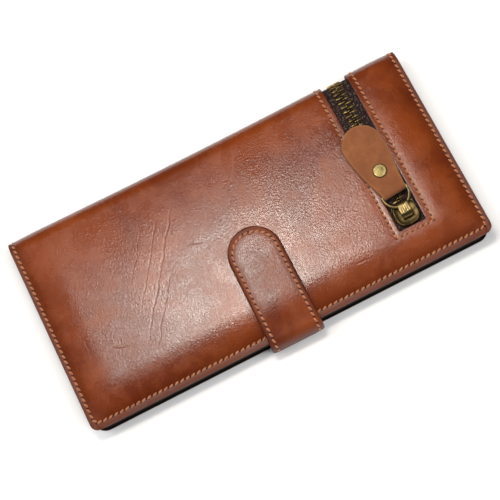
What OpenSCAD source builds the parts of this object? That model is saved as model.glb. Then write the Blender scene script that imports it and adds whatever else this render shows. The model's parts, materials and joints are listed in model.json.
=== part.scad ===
// Long bifold wallet in leather, closed by a strap, with a zip pocket in its front cover.
// Units are millimetres. X runs along the spine, Y from the open edge to the spine, Z up.
// The wallet lies on its back cover, and the origin is the centre of that cover's outer face.

/* [Body] */
// Length along the spine
length = 198; // [190:1:206]
// Width from the open edge to the outside of the spine
width = 97; // [94:1:102]
// Height of the closed wallet over both covers
height = 16.4; // [16.4:0.2:18]
// Radius of the corners at the open edge
corner_r = 4; // [2:0.5:8]

/* [Leather] */
// Thickness of the outer leather
leather_t = 1.6; // [1.4:0.1:1.6]
// Thickness of the thin inner leather
panel_t = 0.8; // [0.6:0.1:0.8]
// Thickness of the lining cloth
lining_t = 0.4; // [0.3:0.1:0.4]
// How far the front cover drops from its middle to its sewn border
edge_drop = 3.2; // [3:0.1:3.2]
// Width of the flat sewn border of the front cover
border_w = 4; // [3:0.5:5]
// Width of the slope inside that border
slope_w = 9; // [7:1:12]

/* [Strap] */
// Width of the closing strap
strap_w = 25.6; // [20:0.2:30]
// Thickness of the closing strap, both layers together
strap_t = 2.2; // [2:0.1:2.2]
// How far the strap reaches over the front cover
strap_reach = 50.6; // [45:0.2:60]
// Clear space between the strap and the open edge
strap_gap = 1.5; // [1.2:0.1:2.5]

/* [Zip] */
// Place of the zip along the length
zip_x = 67.7; // [50:0.1:72]
// Width of the window in the leather
window_w = 13.2; // [13:0.1:15]
// Distance from the open edge to the window's end
window_end = 17.5; // [17.5:0.5:24]
// How far the window runs down the back cover
window_back = 18; // [14:1:30]
// Distance between two teeth of one row
tooth_pitch = 2.4; // [2.2:0.1:2.8]
// Width of the closed chain of teeth
chain_w = 7; // [6.4:0.1:7.4]

/* [Pull] */
// Angle by which the ring and tab lean from the zip
pull_lean = 5; // [0:1:8]
// Length of the leather tab
tab_len = 37; // [30:0.2:40]
// Greatest width of the leather tab
tab_w = 19; // [16:0.5:20]
// Width of the leather tab at its fold
tab_fold_w = 10.6; // [9:0.2:10.6]
// Thickness of the tab's leather
tab_t = 1.2; // [1:0.1:1.2]

/* [Hidden] */

// Colours
tan_leather = [0.55, 0.27, 0.13];
pull_leather = [0.66, 0.40, 0.22];
dark_leather = [0.16, 0.10, 0.08];
lining_cloth = [0.13, 0.11, 0.11];
tape_cloth = [0.14, 0.11, 0.12];
old_brass = [0.55, 0.46, 0.26];
steel = [0.6, 0.6, 0.62];

// The spine is a half round whose middle line is the centre of this arc.
spine_r = height / 2;
spine_y = width / 2 - spine_r;
edge_y = -width / 2;
end_x = length / 2;
// Clear space at the two ends of the spine's arc, so that it can fold
fold_gap = 0.5;

// Heights in the back half, from the table up
back_lining_z = leather_t;
anchor_z = back_lining_z + 0.5;
anchor_t = 0.9;
anchor_depth = 15;
back_panel_z = anchor_z + anchor_t;
back_slots_z = back_panel_z + panel_t;

// Heights in the front half, from its top down
cover_under_z = height - leather_t;
border_top_z = height - edge_drop;
border_under_z = border_top_z - leather_t;
pocket_lining_z = border_under_z - lining_t;
front_panel_z = pocket_lining_z - panel_t;

// Inner panels stop short of the covers' edges and of the spine.
inset = 1;
panel_end_y = spine_y - 3;
slot_step = 11;
slot_gutter = 1.5;

// The zip's tape is sewn under the leather, and its teeth stand on the tape's edge.
tape_t = 0.6;
tape_margin = 6.5;
tape_tail = 3;
tape_r = spine_r - leather_t - tape_t / 2;
zip_z = spine_r + tape_r;
zip_back_z = spine_r - tape_r;
tooth_h = 2;
tooth_t = 0.95;
tooth_reach = 0.6;
window_x0 = zip_x - window_w / 2;
window_x1 = zip_x + window_w / 2;
window_y0 = edge_y + window_end;
window_back_y = spine_y - window_back;
slider_y = edge_y + 23.4;
teeth_start_y = slider_y - 1.2;
front_teeth = floor((spine_y - 1 - teeth_start_y) / tooth_pitch);
spine_teeth = 8;
back_teeth = floor((window_back - 4) / tooth_pitch);

// The slider, measured from the middle of the tape
plate_gap = 1.3;
top_plate_t = 1.2;
low_plate_t = 0.9;
slider_w = 12.2;
slider_back = 5.3;
slider_front = 5.4;
flange_t = 0.9;
flange_inset = 0.6;
flange_end = 0.5;
crown_w = 4;
crown_t = 0.8;
crown_back = -2.6;
crown_front = 5.7;
crown_h = 6.15;

// The ring hangs in the crown, and the tab is folded round the ring's bar.
wire_r = 0.65;
ring_r = 6.15;
ring_leg = 1.6;
ring_local_y = 3.7;
ring_local_z = 4.15;
ring_y = slider_y + ring_local_y;
ring_z = zip_z + ring_local_z;
bar_offset = ring_r + ring_leg;
fold_r = wire_r + 0.1;
tab_taper = 7.4;
rivet_from_bar = 10.9;
rivet_r = 1.05;
rivet_cap_r = 3.1;

// The strap's middle line: up past the open edge from one hinge to the next, then over the cover
strap_out_y = edge_y - strap_gap - strap_t / 2;
hinge_gap = 0.15;
join = 0.01;
swing_z = anchor_z + anchor_t / 2;
strap_clear = 0.2;
lift_z = border_top_z + strap_clear + strap_t / 2;
crown_path_z = height + strap_clear + strap_t / 2;
slope_lead = 1;
strap_tip_y = edge_y + strap_reach;
magnet_y = strap_tip_y - strap_w / 2;
magnet_r = 5.5;
magnet_t = 0.8;

function arc(cx, cy, r, a0, a1, n = 10) =
    [for (i = [0:n]) let (a = a0 + (a1 - a0) * i / n) [cx + r * cos(a), cy + r * sin(a)]];

// An outline with both corners rounded on its low Y side
function panel_outline(x0, x1, y0, y1, r) =
    concat(arc(x0 + r, y0 + r, r, 180, 270), arc(x1 - r, y0 + r, r, 270, 360), [[x1, y1], [x0, y1]]);

// The direction across a path at point i
function across(path, i) =
    let (a = path[max(i - 1, 0)], b = path[min(i + 1, len(path) - 1)], d = b - a)
    [-d[1], d[0]] / norm(d);

// A strip beside a path, from distance low to distance high
function strip(path, low, high) =
    concat(
        [for (i = [0:len(path) - 1]) path[i] + across(path, i) * high],
        [for (i = [len(path) - 1:-1:0]) path[i] + across(path, i) * low]
    );

// Extrudes a drawing of Y and Z from x0 to x1
module along_x(x0, x1) {
    translate([x0, 0, 0]) rotate([90, 0, 90]) linear_extrude(x1 - x0) children();
}

module flat_panel(x0, x1, y0, y1, r, z, t) {
    translate([0, 0, z]) linear_extrude(t) polygon(panel_outline(x0, x1, y0, y1, r));
}

// A half ring round the spine's middle line
module spine_shell(x0, x1, outer_r, inner_r) {
    along_x(x0, x1) translate([spine_y, spine_r]) difference() {
        circle(outer_r, $fn = 96);
        circle(inner_r, $fn = 96);
        translate([-2 * outer_r, -outer_r]) square([2 * outer_r + fold_gap, 2 * outer_r]);
    }
}

// The lower layer of a stepped block of card slots
module card_slot(x0, x1, index, z, t) {
    top_y = panel_end_y - 2 - index * slot_step;
    flat_panel(x0, x1, edge_y + inset, top_y, corner_r - inset, z, t);
}

module back_cover() {
    color(tan_leather) difference() {
        flat_panel(-end_x, end_x, edge_y, spine_y, corner_r, 0, leather_t);
        translate([window_x0, window_back_y, -1]) cube([window_w, window_back + 1, leather_t + 2]);
    }
}

module back_lining() {
    color(lining_cloth) difference() {
        flat_panel(-end_x + inset, end_x - inset, edge_y + inset, spine_y - 1, corner_r - inset,
                   back_lining_z, anchor_z - back_lining_z);
        translate([window_x0 - tape_margin - 0.5, window_back_y - 4.5, 0])
            cube([window_w + 2 * tape_margin + 1, window_back + 5, height]);
    }
}

module strap_anchor() {
    root_y = strap_out_y + strap_t / 2 + hinge_gap;
    color(tan_leather) translate([-strap_w / 2, root_y, anchor_z])
        cube([strap_w, edge_y + anchor_depth - root_y, anchor_t]);
}

module back_inner_panel() {
    color(dark_leather) flat_panel(-end_x + inset, end_x - inset, edge_y + inset, panel_end_y,
                                   corner_r - inset, back_panel_z, panel_t);
}

module back_card_slot(index) {
    color(dark_leather) card_slot(-end_x + inset, end_x - inset, index,
                                  back_slots_z + index * panel_t, panel_t);
}

// One tooth of a row: side is 1 for the row on the right and -1 for the one on the left
module tooth(side) {
    root = chain_w / 2;
    scale_y = tooth_t / 2;
    translate([0, 0, -tooth_h / 2]) linear_extrude(tooth_h) polygon([
        [-side * tooth_reach, scale_y], [side * 0.9, scale_y], [side * 1.5, scale_y * 0.6],
        [side * root, scale_y * 0.75], [side * root, -scale_y * 0.75], [side * 1.5, -scale_y * 0.6],
        [side * 0.9, -scale_y], [-side * tooth_reach, -scale_y]
    ]);
}

// A straight row of teeth going towards +Y
module straight_row(side, y, z, count) {
    shift = side > 0 ? 0 : tooth_pitch / 2;
    for (i = [0:count - 1]) translate([zip_x, y + shift + i * tooth_pitch, z]) tooth(side);
}

// The tape on one side, from the roots of its teeth to its sewn edge
function tape_x0(side) = side > 0 ? zip_x + chain_w / 2 : window_x0 - tape_margin;
function tape_x1(side) = side > 0 ? window_x1 + tape_margin : zip_x - chain_w / 2;

module tape_half(side, y0, y1, z) {
    translate([tape_x0(side), y0, z - tape_t / 2]) cube([tape_x1(side) - tape_x0(side), y1 - y0, tape_t]);
}

module zip_tape(side) {
    color(tape_cloth) tape_half(side, window_y0 - tape_tail, spine_y, zip_z);
}

module zip_teeth(side) {
    color(old_brass) straight_row(side, teeth_start_y, zip_z, front_teeth);
}

module zip_top_stops() {
    color(old_brass) for (side = [-1, 1])
        translate([zip_x + side * 2.4, teeth_start_y - 3, zip_z]) cube([2, 1.8, 1.8], center = true);
}

module zip_spine_tape() {
    color(tape_cloth) for (side = [-1, 1])
        spine_shell(tape_x0(side), tape_x1(side), tape_r + tape_t / 2, tape_r - tape_t / 2);
}

module zip_spine_teeth() {
    step = 180 / spine_teeth;
    color(old_brass) for (side = [-1, 1], i = [0:spine_teeth - 1]) {
        turn = -step * (i + (side > 0 ? 0.28 : 0.72));
        translate([zip_x, spine_y + fold_gap / 2, spine_r]) rotate([turn, 0, 0])
            translate([0, 0, tape_r]) tooth(side);
    }
}

module zip_back_tape() {
    color(tape_cloth) for (side = [-1, 1]) tape_half(side, window_back_y - tape_tail, spine_y, zip_back_z);
}

module zip_back_teeth() {
    color(old_brass) for (side = [-1, 1])
        straight_row(side, spine_y - 1 - back_teeth * tooth_pitch, zip_back_z, back_teeth);
}

module zip_bottom_stop() {
    color(old_brass) translate([zip_x, window_back_y + 1.4, zip_back_z])
        cube([4.4, 1.6, 2.2], center = true);
}

module spine_leather() {
    color(tan_leather) {
        spine_shell(-end_x, window_x0, spine_r, spine_r - leather_t);
        spine_shell(window_x1, end_x, spine_r, spine_r - leather_t);
    }
}

module spine_lining() {
    lining_r = tape_r - tooth_h / 2 - 0.2;
    color(lining_cloth) spine_shell(-end_x + inset, end_x - inset, lining_r, lining_r - 0.5);
}

// A block with the front cover's slope: low at three sides, high in the middle and at the spine
module crowned_block(low_inset, high_inset, low_z, high_z, t, end_y) {
    hull() {
        flat_panel(-end_x + low_inset, end_x - low_inset, edge_y + low_inset, end_y,
                   corner_r, low_z, t);
        flat_panel(-end_x + high_inset, end_x - high_inset, edge_y + high_inset, end_y,
                   corner_r, high_z, t);
    }
}

module front_cover() {
    slope_end = border_w + slope_w;
    skin = 0.01;
    color(tan_leather) difference() {
        union() {
            flat_panel(-end_x, end_x, edge_y, spine_y, corner_r, border_under_z, leather_t);
            crowned_block(border_w, slope_end, border_under_z, cover_under_z, leather_t, spine_y);
        }
        crowned_block(border_w + leather_t, slope_end + leather_t / 2,
                      border_under_z - 1, cover_under_z - skin, skin, spine_y + 1);
        translate([window_x0, window_y0, 0]) cube([window_w, width, height + 1]);
    }
}

module zip_pocket_lining() {
    color(lining_cloth) flat_panel(-end_x + inset, end_x - inset, edge_y + inset, panel_end_y,
                                   corner_r - inset, pocket_lining_z, lining_t);
}

module front_inner_panel() {
    color(dark_leather) flat_panel(-end_x + inset, end_x - inset, edge_y + inset, panel_end_y,
                                   corner_r - inset, front_panel_z, panel_t);
}

module front_card_slot(index) {
    color(dark_leather) card_slot(slot_gutter, end_x - inset, index,
                                  front_panel_z - (index + 1) * panel_t, panel_t);
}

film_t = 0.25;

module id_window_film() {
    color([0.8, 0.85, 0.88, 0.4])
        flat_panel(-end_x + inset, -slot_gutter, edge_y + inset, panel_end_y - 4,
                   corner_r - inset, front_panel_z - film_t, film_t);
}

module id_window_frame() {
    frame_w = 13;
    color(dark_leather) difference() {
        flat_panel(-end_x + inset, -slot_gutter, edge_y + inset, panel_end_y - 2,
                   corner_r - inset, front_panel_z - film_t - panel_t, panel_t);
        flat_panel(-end_x + frame_w, -frame_w, edge_y + frame_w, panel_end_y - frame_w,
                   corner_r, 0, height);
    }
}

module keeper_plate() {
    color(steel) translate([0, magnet_y, cover_under_z - magnet_t])
        cylinder(r = magnet_r, h = magnet_t, $fn = 48);
}

// The middle line of the tongue: from its hinge over the border, up the slope and to its tip
function tongue_path() = [
    [strap_out_y - join, lift_z],
    [edge_y + border_w - slope_lead, lift_z],
    [edge_y + border_w + slope_w - slope_lead, crown_path_z],
    [strap_tip_y + 1, crown_path_z]
];

// Cuts one layer from the round end that turns in a hinge
module hinge_round(y, z, dy, dz) {
    intersection() {
        translate([y, z]) circle(strap_t / 2, $fn = 48);
        translate([y + dy, z + dz]) square([strap_t, strap_t]);
    }
}

// One layer of the bend: side is -1 for the outer layer and 0 for the one facing the wallet
module bend_layer(side) {
    half_t = strap_t / 2;
    top_z = lift_z - half_t - hinge_gap;
    along_x(-strap_w / 2, strap_w / 2) {
        translate([strap_out_y + side * half_t, swing_z]) square([half_t, top_z - swing_z]);
        hinge_round(strap_out_y, swing_z, side * strap_t, -strap_t);
    }
}

module strap_bend_outer() {
    color(tan_leather) bend_layer(-1);
}

module strap_bend_lining() {
    color(dark_leather) bend_layer(0);
}

module tongue_outline() {
    tip_r = strap_w / 2;
    union() {
        translate([-tip_r, strap_out_y - strap_t])
            square([strap_w, strap_tip_y - tip_r - strap_out_y + strap_t]);
        translate([0, strap_tip_y - tip_r]) circle(tip_r, $fn = 96);
    }
}

module tongue_layer(low, high) {
    intersection() {
        along_x(-strap_w / 2, strap_w / 2) {
            polygon(strip(tongue_path(), low, high));
            hinge_round(strap_out_y, lift_z, -strap_t, low < 0 ? -strap_t : 0);
        }
        translate([0, 0, border_under_z - 2]) linear_extrude(height) tongue_outline();
    }
}

module magnet_disc(r, t) {
    translate([0, magnet_y, crown_path_z - t / 2]) cylinder(r = r, h = t, $fn = 48);
}

module strap_tongue_outer() {
    color(tan_leather) difference() {
        tongue_layer(0, strap_t / 2);
        magnet_disc(magnet_r, magnet_t);
    }
}

module strap_tongue_lining() {
    color(dark_leather) difference() {
        tongue_layer(-strap_t / 2, 0);
        magnet_disc(magnet_r, magnet_t);
    }
}

module strap_magnet() {
    color(steel) magnet_disc(magnet_r, magnet_t);
}

// The slider's outline: a straight throat towards the spine and a round mouth
module slider_outline() {
    half = slider_w / 2;
    polygon(concat(
        [[half - 0.9, slider_front], [-half + 0.9, slider_front]],
        arc(0, half - slider_back, half, 180, 360, 24)
    ));
}

module slider_plate(z, t) {
    translate([0, 0, z]) linear_extrude(t) slider_outline();
}

module slider_flange(side, z, h) {
    inner = slider_w / 2 - flange_t - flange_inset;
    x0 = side > 0 ? inner : -inner - flange_t;
    translate([x0, -1, z]) cube([flange_t, slider_front, h]);
}

module at_slider() {
    translate([zip_x, slider_y, zip_z]) children();
}

module slider_body() {
    wall_h = plate_gap - flange_end + 0.1;
    color(old_brass) at_slider() {
        slider_plate(plate_gap, top_plate_t);
        slider_plate(-plate_gap - low_plate_t, low_plate_t);
        for (side = [-1, 1]) {
            slider_flange(side, flange_end, wall_h);
            slider_flange(side, -flange_end - wall_h, wall_h);
        }
        translate([0, 0, -plate_gap - 0.1]) linear_extrude(2 * plate_gap + 0.2)
            polygon([[-0.9, -4.4], [0.9, -4.4], [0.5, -2.3], [-0.5, -2.3]]);
    }
}

// An arch outline with both top corners rounded
function arch(y0, y1, top, r) = concat(
    [[y0, 0]], arc(y0 + r, top - r, r, 180, 90, 8), arc(y1 - r, top - r, r, 90, 0, 8), [[y1, 0]]
);

module slider_crown() {
    foot = plate_gap + top_plate_t;
    color(old_brass) at_slider() along_x(-crown_w / 2, crown_w / 2) translate([0, foot]) difference() {
        polygon(arch(crown_back, crown_front, crown_h - foot, 2.2));
        translate([0, -0.01])
            polygon(arch(crown_back + crown_t, crown_front - crown_t, crown_h - foot - crown_t, 1.3));
    }
}

// Places the pull at the ring's pivot, leaning from the zip's line
module at_pull() {
    translate([zip_x, ring_y, ring_z]) rotate([0, 0, pull_lean]) children();
}

module wire(a, b) {
    d = b - a;
    translate([a[0], a[1], 0]) rotate([0, 90, atan2(d[1], d[0])])
        cylinder(r = wire_r, h = norm(d), $fn = 32);
}

// The ring is a half circle with two short legs and a straight bar.
module pull_ring() {
    color(old_brass) at_pull() translate([0, ring_r, 0]) {
        rotate([0, 0, 180]) rotate_extrude(angle = 180, $fn = 96)
            translate([ring_r, 0]) circle(wire_r, $fn = 32);
        wire([-ring_r, 0], [-ring_r, ring_leg]);
        wire([ring_r, 0], [ring_r, ring_leg]);
        wire([-ring_r, ring_leg], [ring_r, ring_leg]);
        for (side = [-1, 1]) translate([side * ring_r, ring_leg, 0]) sphere(r = wire_r, $fn = 32);
    }
}

// The tab in plan: narrow at the fold, widest near its round end. The bar is at y = 0.
module tab_outline() {
    end_r = tab_w / 2;
    end_y = tab_len - fold_r - tab_t - end_r;
    half_fold = tab_fold_w / 2;
    side_y = end_y - 3;
    low_y = -fold_r - tab_t - 1;
    polygon(concat(
        [[half_fold, low_y], [half_fold, 2]],
        [for (i = [1:9]) let (u = i / 10)
            [half_fold + (end_r - half_fold) * (3 * u * u - 2 * u * u * u), 2 + (side_y - 2) * u]],
        [[end_r, side_y]],
        arc(0, end_y, end_r, 0, 180, 24),
        [[-end_r, side_y]],
        [for (i = [9:-1:1]) let (u = i / 10)
            [-half_fold - (end_r - half_fold) * (3 * u * u - 2 * u * u * u), 2 + (side_y - 2) * u]],
        [[-half_fold, 2], [-half_fold, low_y]]
    ));
}

// The tab from the side: folded round the bar, with both layers closing beyond it
module tab_side() {
    outer = fold_r + tab_t;
    difference() {
        polygon(concat(
            arc(0, 0, outer, 90, 270, 16),
            [[tab_taper, -outer], [tab_len, -outer], [tab_len, -outer + 2 * tab_t],
             [tab_taper, -outer + 2 * tab_t]]
        ));
        polygon(concat(arc(0, 0, fold_r, 90, 270, 16), [[tab_taper - 1.5, -fold_r]]));
    }
}

module at_bar() {
    at_pull() translate([0, bar_offset, 0]) children();
}

module pull_tab() {
    color(pull_leather) at_bar() difference() {
        intersection() {
            along_x(-tab_w, tab_w) tab_side();
            translate([0, 0, -height]) linear_extrude(2 * height) tab_outline();
        }
        translate([0, rivet_from_bar, -height]) cylinder(r = rivet_r, h = 2 * height, $fn = 32);
    }
}

tab_low = -fold_r - tab_t;
tab_high = tab_low + 2 * tab_t;

module tab_rivet_cap() {
    cap_h = 0.9;
    dome_r = 5;
    color(old_brass) at_bar() translate([0, rivet_from_bar, tab_high]) difference() {
        intersection() {
            cylinder(r = rivet_cap_r, h = cap_h, $fn = 48);
            translate([0, 0, cap_h - dome_r]) sphere(r = dome_r, $fn = 64);
        }
        translate([0, 0, -0.01]) cylinder(r = rivet_r, h = 0.4, $fn = 32);
    }
}

module tab_rivet_post() {
    color(old_brass) at_bar() translate([0, rivet_from_bar, tab_low + 0.05])
        cylinder(r = rivet_r, h = 2 * tab_t + 0.3, $fn = 32);
}

back_cover();
back_lining();
strap_anchor();
back_inner_panel();
back_card_slot(0);  // back_card_slot_1
back_card_slot(1);  // back_card_slot_2
back_card_slot(2);  // back_card_slot_3
back_card_slot(3);  // back_card_slot_4
zip_back_tape();
zip_back_teeth();
zip_bottom_stop();
spine_leather();
spine_lining();
zip_spine_tape();
zip_spine_teeth();
front_cover();
zip_tape(-1);  // zip_tape_left
zip_tape(1);  // zip_tape_right
zip_teeth(-1);  // zip_teeth_left
zip_teeth(1);  // zip_teeth_right
zip_top_stops();
zip_pocket_lining();
front_inner_panel();
id_window_frame();
id_window_film();
front_card_slot(0);  // front_card_slot_1
front_card_slot(1);  // front_card_slot_2
front_card_slot(2);  // front_card_slot_3
keeper_plate();
strap_bend_outer();
strap_bend_lining();
strap_tongue_outer();
strap_tongue_lining();
strap_magnet();
slider_body();
slider_crown();
pull_ring();
pull_tab();
tab_rivet_cap();
tab_rivet_post();
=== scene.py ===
from math import acos, atan2, ceil, copysign, cos, exp, hypot, pi, radians, sin, sqrt, tan

import bmesh
import bpy
import json
from mathutils import Matrix, Vector, noise


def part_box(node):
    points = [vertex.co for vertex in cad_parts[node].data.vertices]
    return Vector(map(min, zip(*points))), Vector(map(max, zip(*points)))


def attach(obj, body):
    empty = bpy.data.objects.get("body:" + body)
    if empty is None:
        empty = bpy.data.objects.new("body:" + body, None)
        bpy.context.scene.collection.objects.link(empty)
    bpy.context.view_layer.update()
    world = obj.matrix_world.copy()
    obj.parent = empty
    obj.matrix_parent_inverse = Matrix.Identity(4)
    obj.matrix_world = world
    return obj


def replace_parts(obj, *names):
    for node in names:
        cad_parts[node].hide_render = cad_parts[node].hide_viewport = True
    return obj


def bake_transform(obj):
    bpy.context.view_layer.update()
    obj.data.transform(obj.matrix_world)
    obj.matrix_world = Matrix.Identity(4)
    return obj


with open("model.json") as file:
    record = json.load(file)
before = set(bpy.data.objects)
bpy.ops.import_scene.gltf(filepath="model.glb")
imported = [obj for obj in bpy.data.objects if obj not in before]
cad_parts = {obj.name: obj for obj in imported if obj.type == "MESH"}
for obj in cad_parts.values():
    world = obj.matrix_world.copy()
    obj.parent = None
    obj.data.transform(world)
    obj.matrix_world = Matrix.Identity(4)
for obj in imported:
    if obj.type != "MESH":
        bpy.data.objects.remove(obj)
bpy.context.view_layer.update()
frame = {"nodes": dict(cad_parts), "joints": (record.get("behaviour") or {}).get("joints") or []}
scene = bpy.context.scene
scene.view_settings.view_transform = "Standard"

MM = 0.001


def cad(node):
    """The box of a CAD node in millimetres."""
    lo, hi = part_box(node)
    return lo / MM, hi / MM


# Sizes that the CAD gives, in millimetres
lo, hi = cad("back_cover")
HALF_L, EDGE_Y, SPINE_Y, LEATHER = hi.x, lo.y, hi.y, hi.z
lo, hi = cad("spine_leather")
HEIGHT, OUT_Y = hi.z, hi.y
BORDER_Z = cad("front_cover")[0].z + LEATHER
R = HEIGHT / 2
lo, hi = cad("zip_spine_teeth")
ZIP_X = (lo.x + hi.x) / 2
lo, hi = cad("zip_tape_left")
TAPE_Z = (lo.z + hi.z) / 2
TAPE_X0, TAPE_Y0 = lo.x, lo.y
WINDOW_W = 13.2
TUCK = 3  # how far the tape's end lies under the leather
WIN_X0, WIN_X1 = ZIP_X - WINDOW_W / 2, ZIP_X + WINDOW_W / 2
SIDE = {True: "front", False: "back"}
WIN_Y = {True: TAPE_Y0 + TUCK, False: cad("zip_back_tape")[0].y + TUCK}  # the window's end on each side
CORNER_R = 3.4
SPINE_DROP, FALL_Y = 0.9, 8.0
STITCH_SIDE, STITCH_EDGE = 2.1, 2.75
STITCH_PITCH = 2.7
SEAM_X, SEAM_Y = 2.6, 2.3  # from the window's side and end to the middle of the seam round it
BACK_CORNER = 2.6  # how much rounder the back cover's corners are
BACK_SEAM = 2.6  # how much deeper the seams press into the back
GROOVE, GROOVE_W = 0.22, 0.6  # of the seam along the edges


# ---- materials


class Shader:
    """A material's node tree, with short ways to add the usual nodes. A value is a number or a socket."""

    def __init__(self, name, **principled):
        self.material = bpy.data.materials.new(name)
        self.material.use_nodes = True
        self.tree = self.material.node_tree
        self.tree.nodes.clear()
        out = self.tree.nodes.new("ShaderNodeOutputMaterial")
        self.bsdf = self.tree.nodes.new("ShaderNodeBsdfPrincipled")
        self.tree.links.new(self.bsdf.outputs[0], out.inputs[0])
        for key, value in principled.items():
            self.set(key.replace("_", " "), value)
        self.place = self.node("TexCoord")["Object"]

    def _fill(self, socket, value):
        if isinstance(value, bpy.types.NodeSocket):
            self.tree.links.new(value, socket)
        else:
            socket.default_value = value

    def set(self, name, value):
        self._fill(self.bsdf.inputs[name], value)

    def node(self, kind, inputs=(), **settings):
        """Adds a node and returns its outputs."""
        n = self.tree.nodes.new("ShaderNode" + kind)
        for key, value in settings.items():
            setattr(n, key, value)
        for key, value in dict(inputs).items():
            self._fill(n.inputs[key], value)
        return n.outputs

    def stretch(self, x, y, z):
        """The place, squeezed along each axis."""
        return self.node("VectorMath", {0: self.place, 1: (x, y, z)}, operation="MULTIPLY")[0]

    def warp(self, reach, scale):
        """The place, pushed about by reach metres."""
        push = self.node("TexNoise", {"Vector": self.place, "Scale": scale})["Color"]
        return self.node("VectorMath", {0: push, 1: (reach, reach, reach), 2: self.place},
                         operation="MULTIPLY_ADD")[0]

    def noise(self, scale, detail=4.0, roughness=0.55, distortion=0.0, place=None):
        return self.node("TexNoise", {"Vector": place or self.place, "Scale": scale, "Detail": detail,
                                      "Roughness": roughness, "Distortion": distortion})["Fac"]

    def cells(self, scale, place):
        return self.node("TexVoronoi", {"Vector": place, "Scale": scale}, feature="SMOOTH_F1")["Distance"]

    def wave(self, scale, direction):
        inputs = {"Vector": self.place, "Scale": scale}
        return self.node("TexWave", inputs, bands_direction=direction)["Fac"]

    def math(self, kind, a, b=0.0):
        return self.node("Math", {0: a, 1: b}, operation=kind)[0]

    def add(self, a, b):
        return self.math("ADD", a, b)

    def sub(self, a, b):
        return self.math("SUBTRACT", a, b)

    def mul(self, a, b):
        return self.math("MULTIPLY", a, b)

    def ramp(self, value, low, high, out_low=0.0, out_high=1.0):
        return self.node("MapRange", {"Value": value, "From Min": low, "From Max": high, "To Min": out_low,
                                      "To Max": out_high}, interpolation_type="SMOOTHSTEP")["Result"]

    def mix(self, fac, a, b):
        return self.node("Mix", {0: fac, 6: a, 7: b}, data_type="RGBA")[2]

    def shade(self, value, low, high, a, b, most=1.0):
        """Goes from colour a to b, or up to most of the way, as value goes from low to high."""
        return self.mix(self.ramp(value, low, high, 0.0, most), a, b)

    def edge(self):
        """The value that paint() stored, in millimetres: mostly a distance from an edge, and on the strap's
        bend a value that falls with height to paint shade there.
        """
        return self.node("Attribute", attribute_name="edge")["Fac"]

    def axis(self, name):
        return self.node("SeparateXYZ", {0: self.place})[name]

    def bump(self, height, distance, strength, normal=None):
        inputs = {"Height": height, "Distance": distance, "Strength": strength}
        if normal:
            inputs["Normal"] = normal
        return self.node("Bump", inputs)[0]

    def finish(self, color, roughness, normal=None):
        self.set("Base Color", color)
        self.set("Roughness", roughness)
        if normal:
            self.set("Normal", normal)
        return self.material


def rgb(r, g, b):
    """An sRGB colour, 0 to 255, as linear light."""
    def lin(v):
        v /= 255
        return v / 12.92 if v <= 0.04045 else ((v + 0.055) / 1.055) ** 2.4
    return (lin(r), lin(g), lin(b), 1.0)


def crease(s, x0, y0, x1, y1, width, wander=0.0015):
    """A line dented into the leather between two points, in metres, with soft ends."""
    length = hypot(x1 - x0, y1 - y0)
    dx, dy = (x1 - x0) / length, (y1 - y0) / length
    x, y = s.sub(s.axis("X"), x0), s.sub(s.axis("Y"), y0)
    wave = s.mul(s.sub(s.noise(90, 3.0), 0.5), wander * 4)
    across = s.add(s.mul(x, -dy), s.mul(y, dx))
    across = s.math("ABSOLUTE", s.add(across, wave))
    along = s.add(s.mul(x, dx), s.mul(y, dy))
    line = s.ramp(across, 0.0, width, 1.0, 0.0)
    ends = s.mul(s.ramp(along, 0.0, length * 0.3), s.ramp(along, length * 0.7, length, 1.0, 0.0))
    return s.mul(line, ends)


def leather(name, dark, mid, light, burnish_and_shade_tone, rough=0.255, coat=0.2, creases=(), grain=1.0, burnish_and_shade_w=11.0):
    s = Shader(name, Coat_Roughness=0.23, Specular_IOR_Level=0.55)
    broad = s.noise(22, 3.0, 0.6, 0.6)
    cloud = s.noise(75, 5.0, 0.65, 0.3)
    speck = s.noise(520, 4.0, 0.7)
    color = s.shade(broad, 0.35, 0.68, dark, mid)
    color = s.shade(cloud, 0.42, 0.78, color, light, 0.6)
    color = s.shade(speck, 0.5, 0.8, color, dark, 0.22)
    edge = s.edge()
    s.set("Coat Weight", s.ramp(edge, 1.0, 6.0, 0.0, coat))
    # Darker near edges, the spine's roll and the strap's low bend: burnished edges in part, and painted
    # shade where the leather turns from the light.
    burnish_and_shade_mask = s.add(edge, s.mul(s.sub(cloud, 0.5), 5.0))
    color = s.mix(s.ramp(burnish_and_shade_mask, -1.0, burnish_and_shade_w, 0.7, 0.0), color, burnish_and_shade_tone)
    pebble = s.cells(1450, s.warp(0.0016, 260))
    fine = s.noise(1700, 4.0, 0.7)
    height = s.add(s.mul(pebble, 0.8), s.mul(fine, 0.55))
    normal = s.bump(height, 0.00011 * grain, 0.7)
    wrinkle = s.noise(700, 4.0, 0.6, 0.3, s.stretch(1.0, 0.3, 1.0))
    wrinkle = s.math("ABSOLUTE", s.sub(wrinkle, 0.5))
    normal = s.bump(s.ramp(wrinkle, 0.0, 0.06), 0.000022 * grain, 0.6, normal)
    dents = 0.0
    for c in creases:
        dents = s.math("MAXIMUM", dents, crease(s, *c))
    if creases:
        normal = s.bump(s.sub(1.0, dents), 0.00009, 0.6, normal)
        # Creases are darkened in colour too: painted shade in the dents.
        color = s.mix(s.mul(dents, 0.14), color, burnish_and_shade_tone)
    roughness = s.ramp(cloud, 0.3, 0.75, rough - 0.05, rough + 0.09)
    roughness = s.add(roughness, s.ramp(edge, 0.5, 5.0, 0.3, 0.0))
    return s.finish(color, roughness, normal)


def cut_leather(name, tone, dark):
    s = Shader(name, Roughness=0.6, Specular_IOR_Level=0.1)
    fibre = s.noise(900, 5.0, 0.7)
    band = s.noise(130, 3.0, 0.6)
    color = s.shade(fibre, 0.35, 0.7, dark, tone)
    color = s.shade(band, 0.4, 0.75, color, dark, 0.4)
    return s.finish(color, s.ramp(fibre, 0.3, 0.8, 0.48, 0.68), s.bump(fibre, 0.00008, 0.7))


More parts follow.
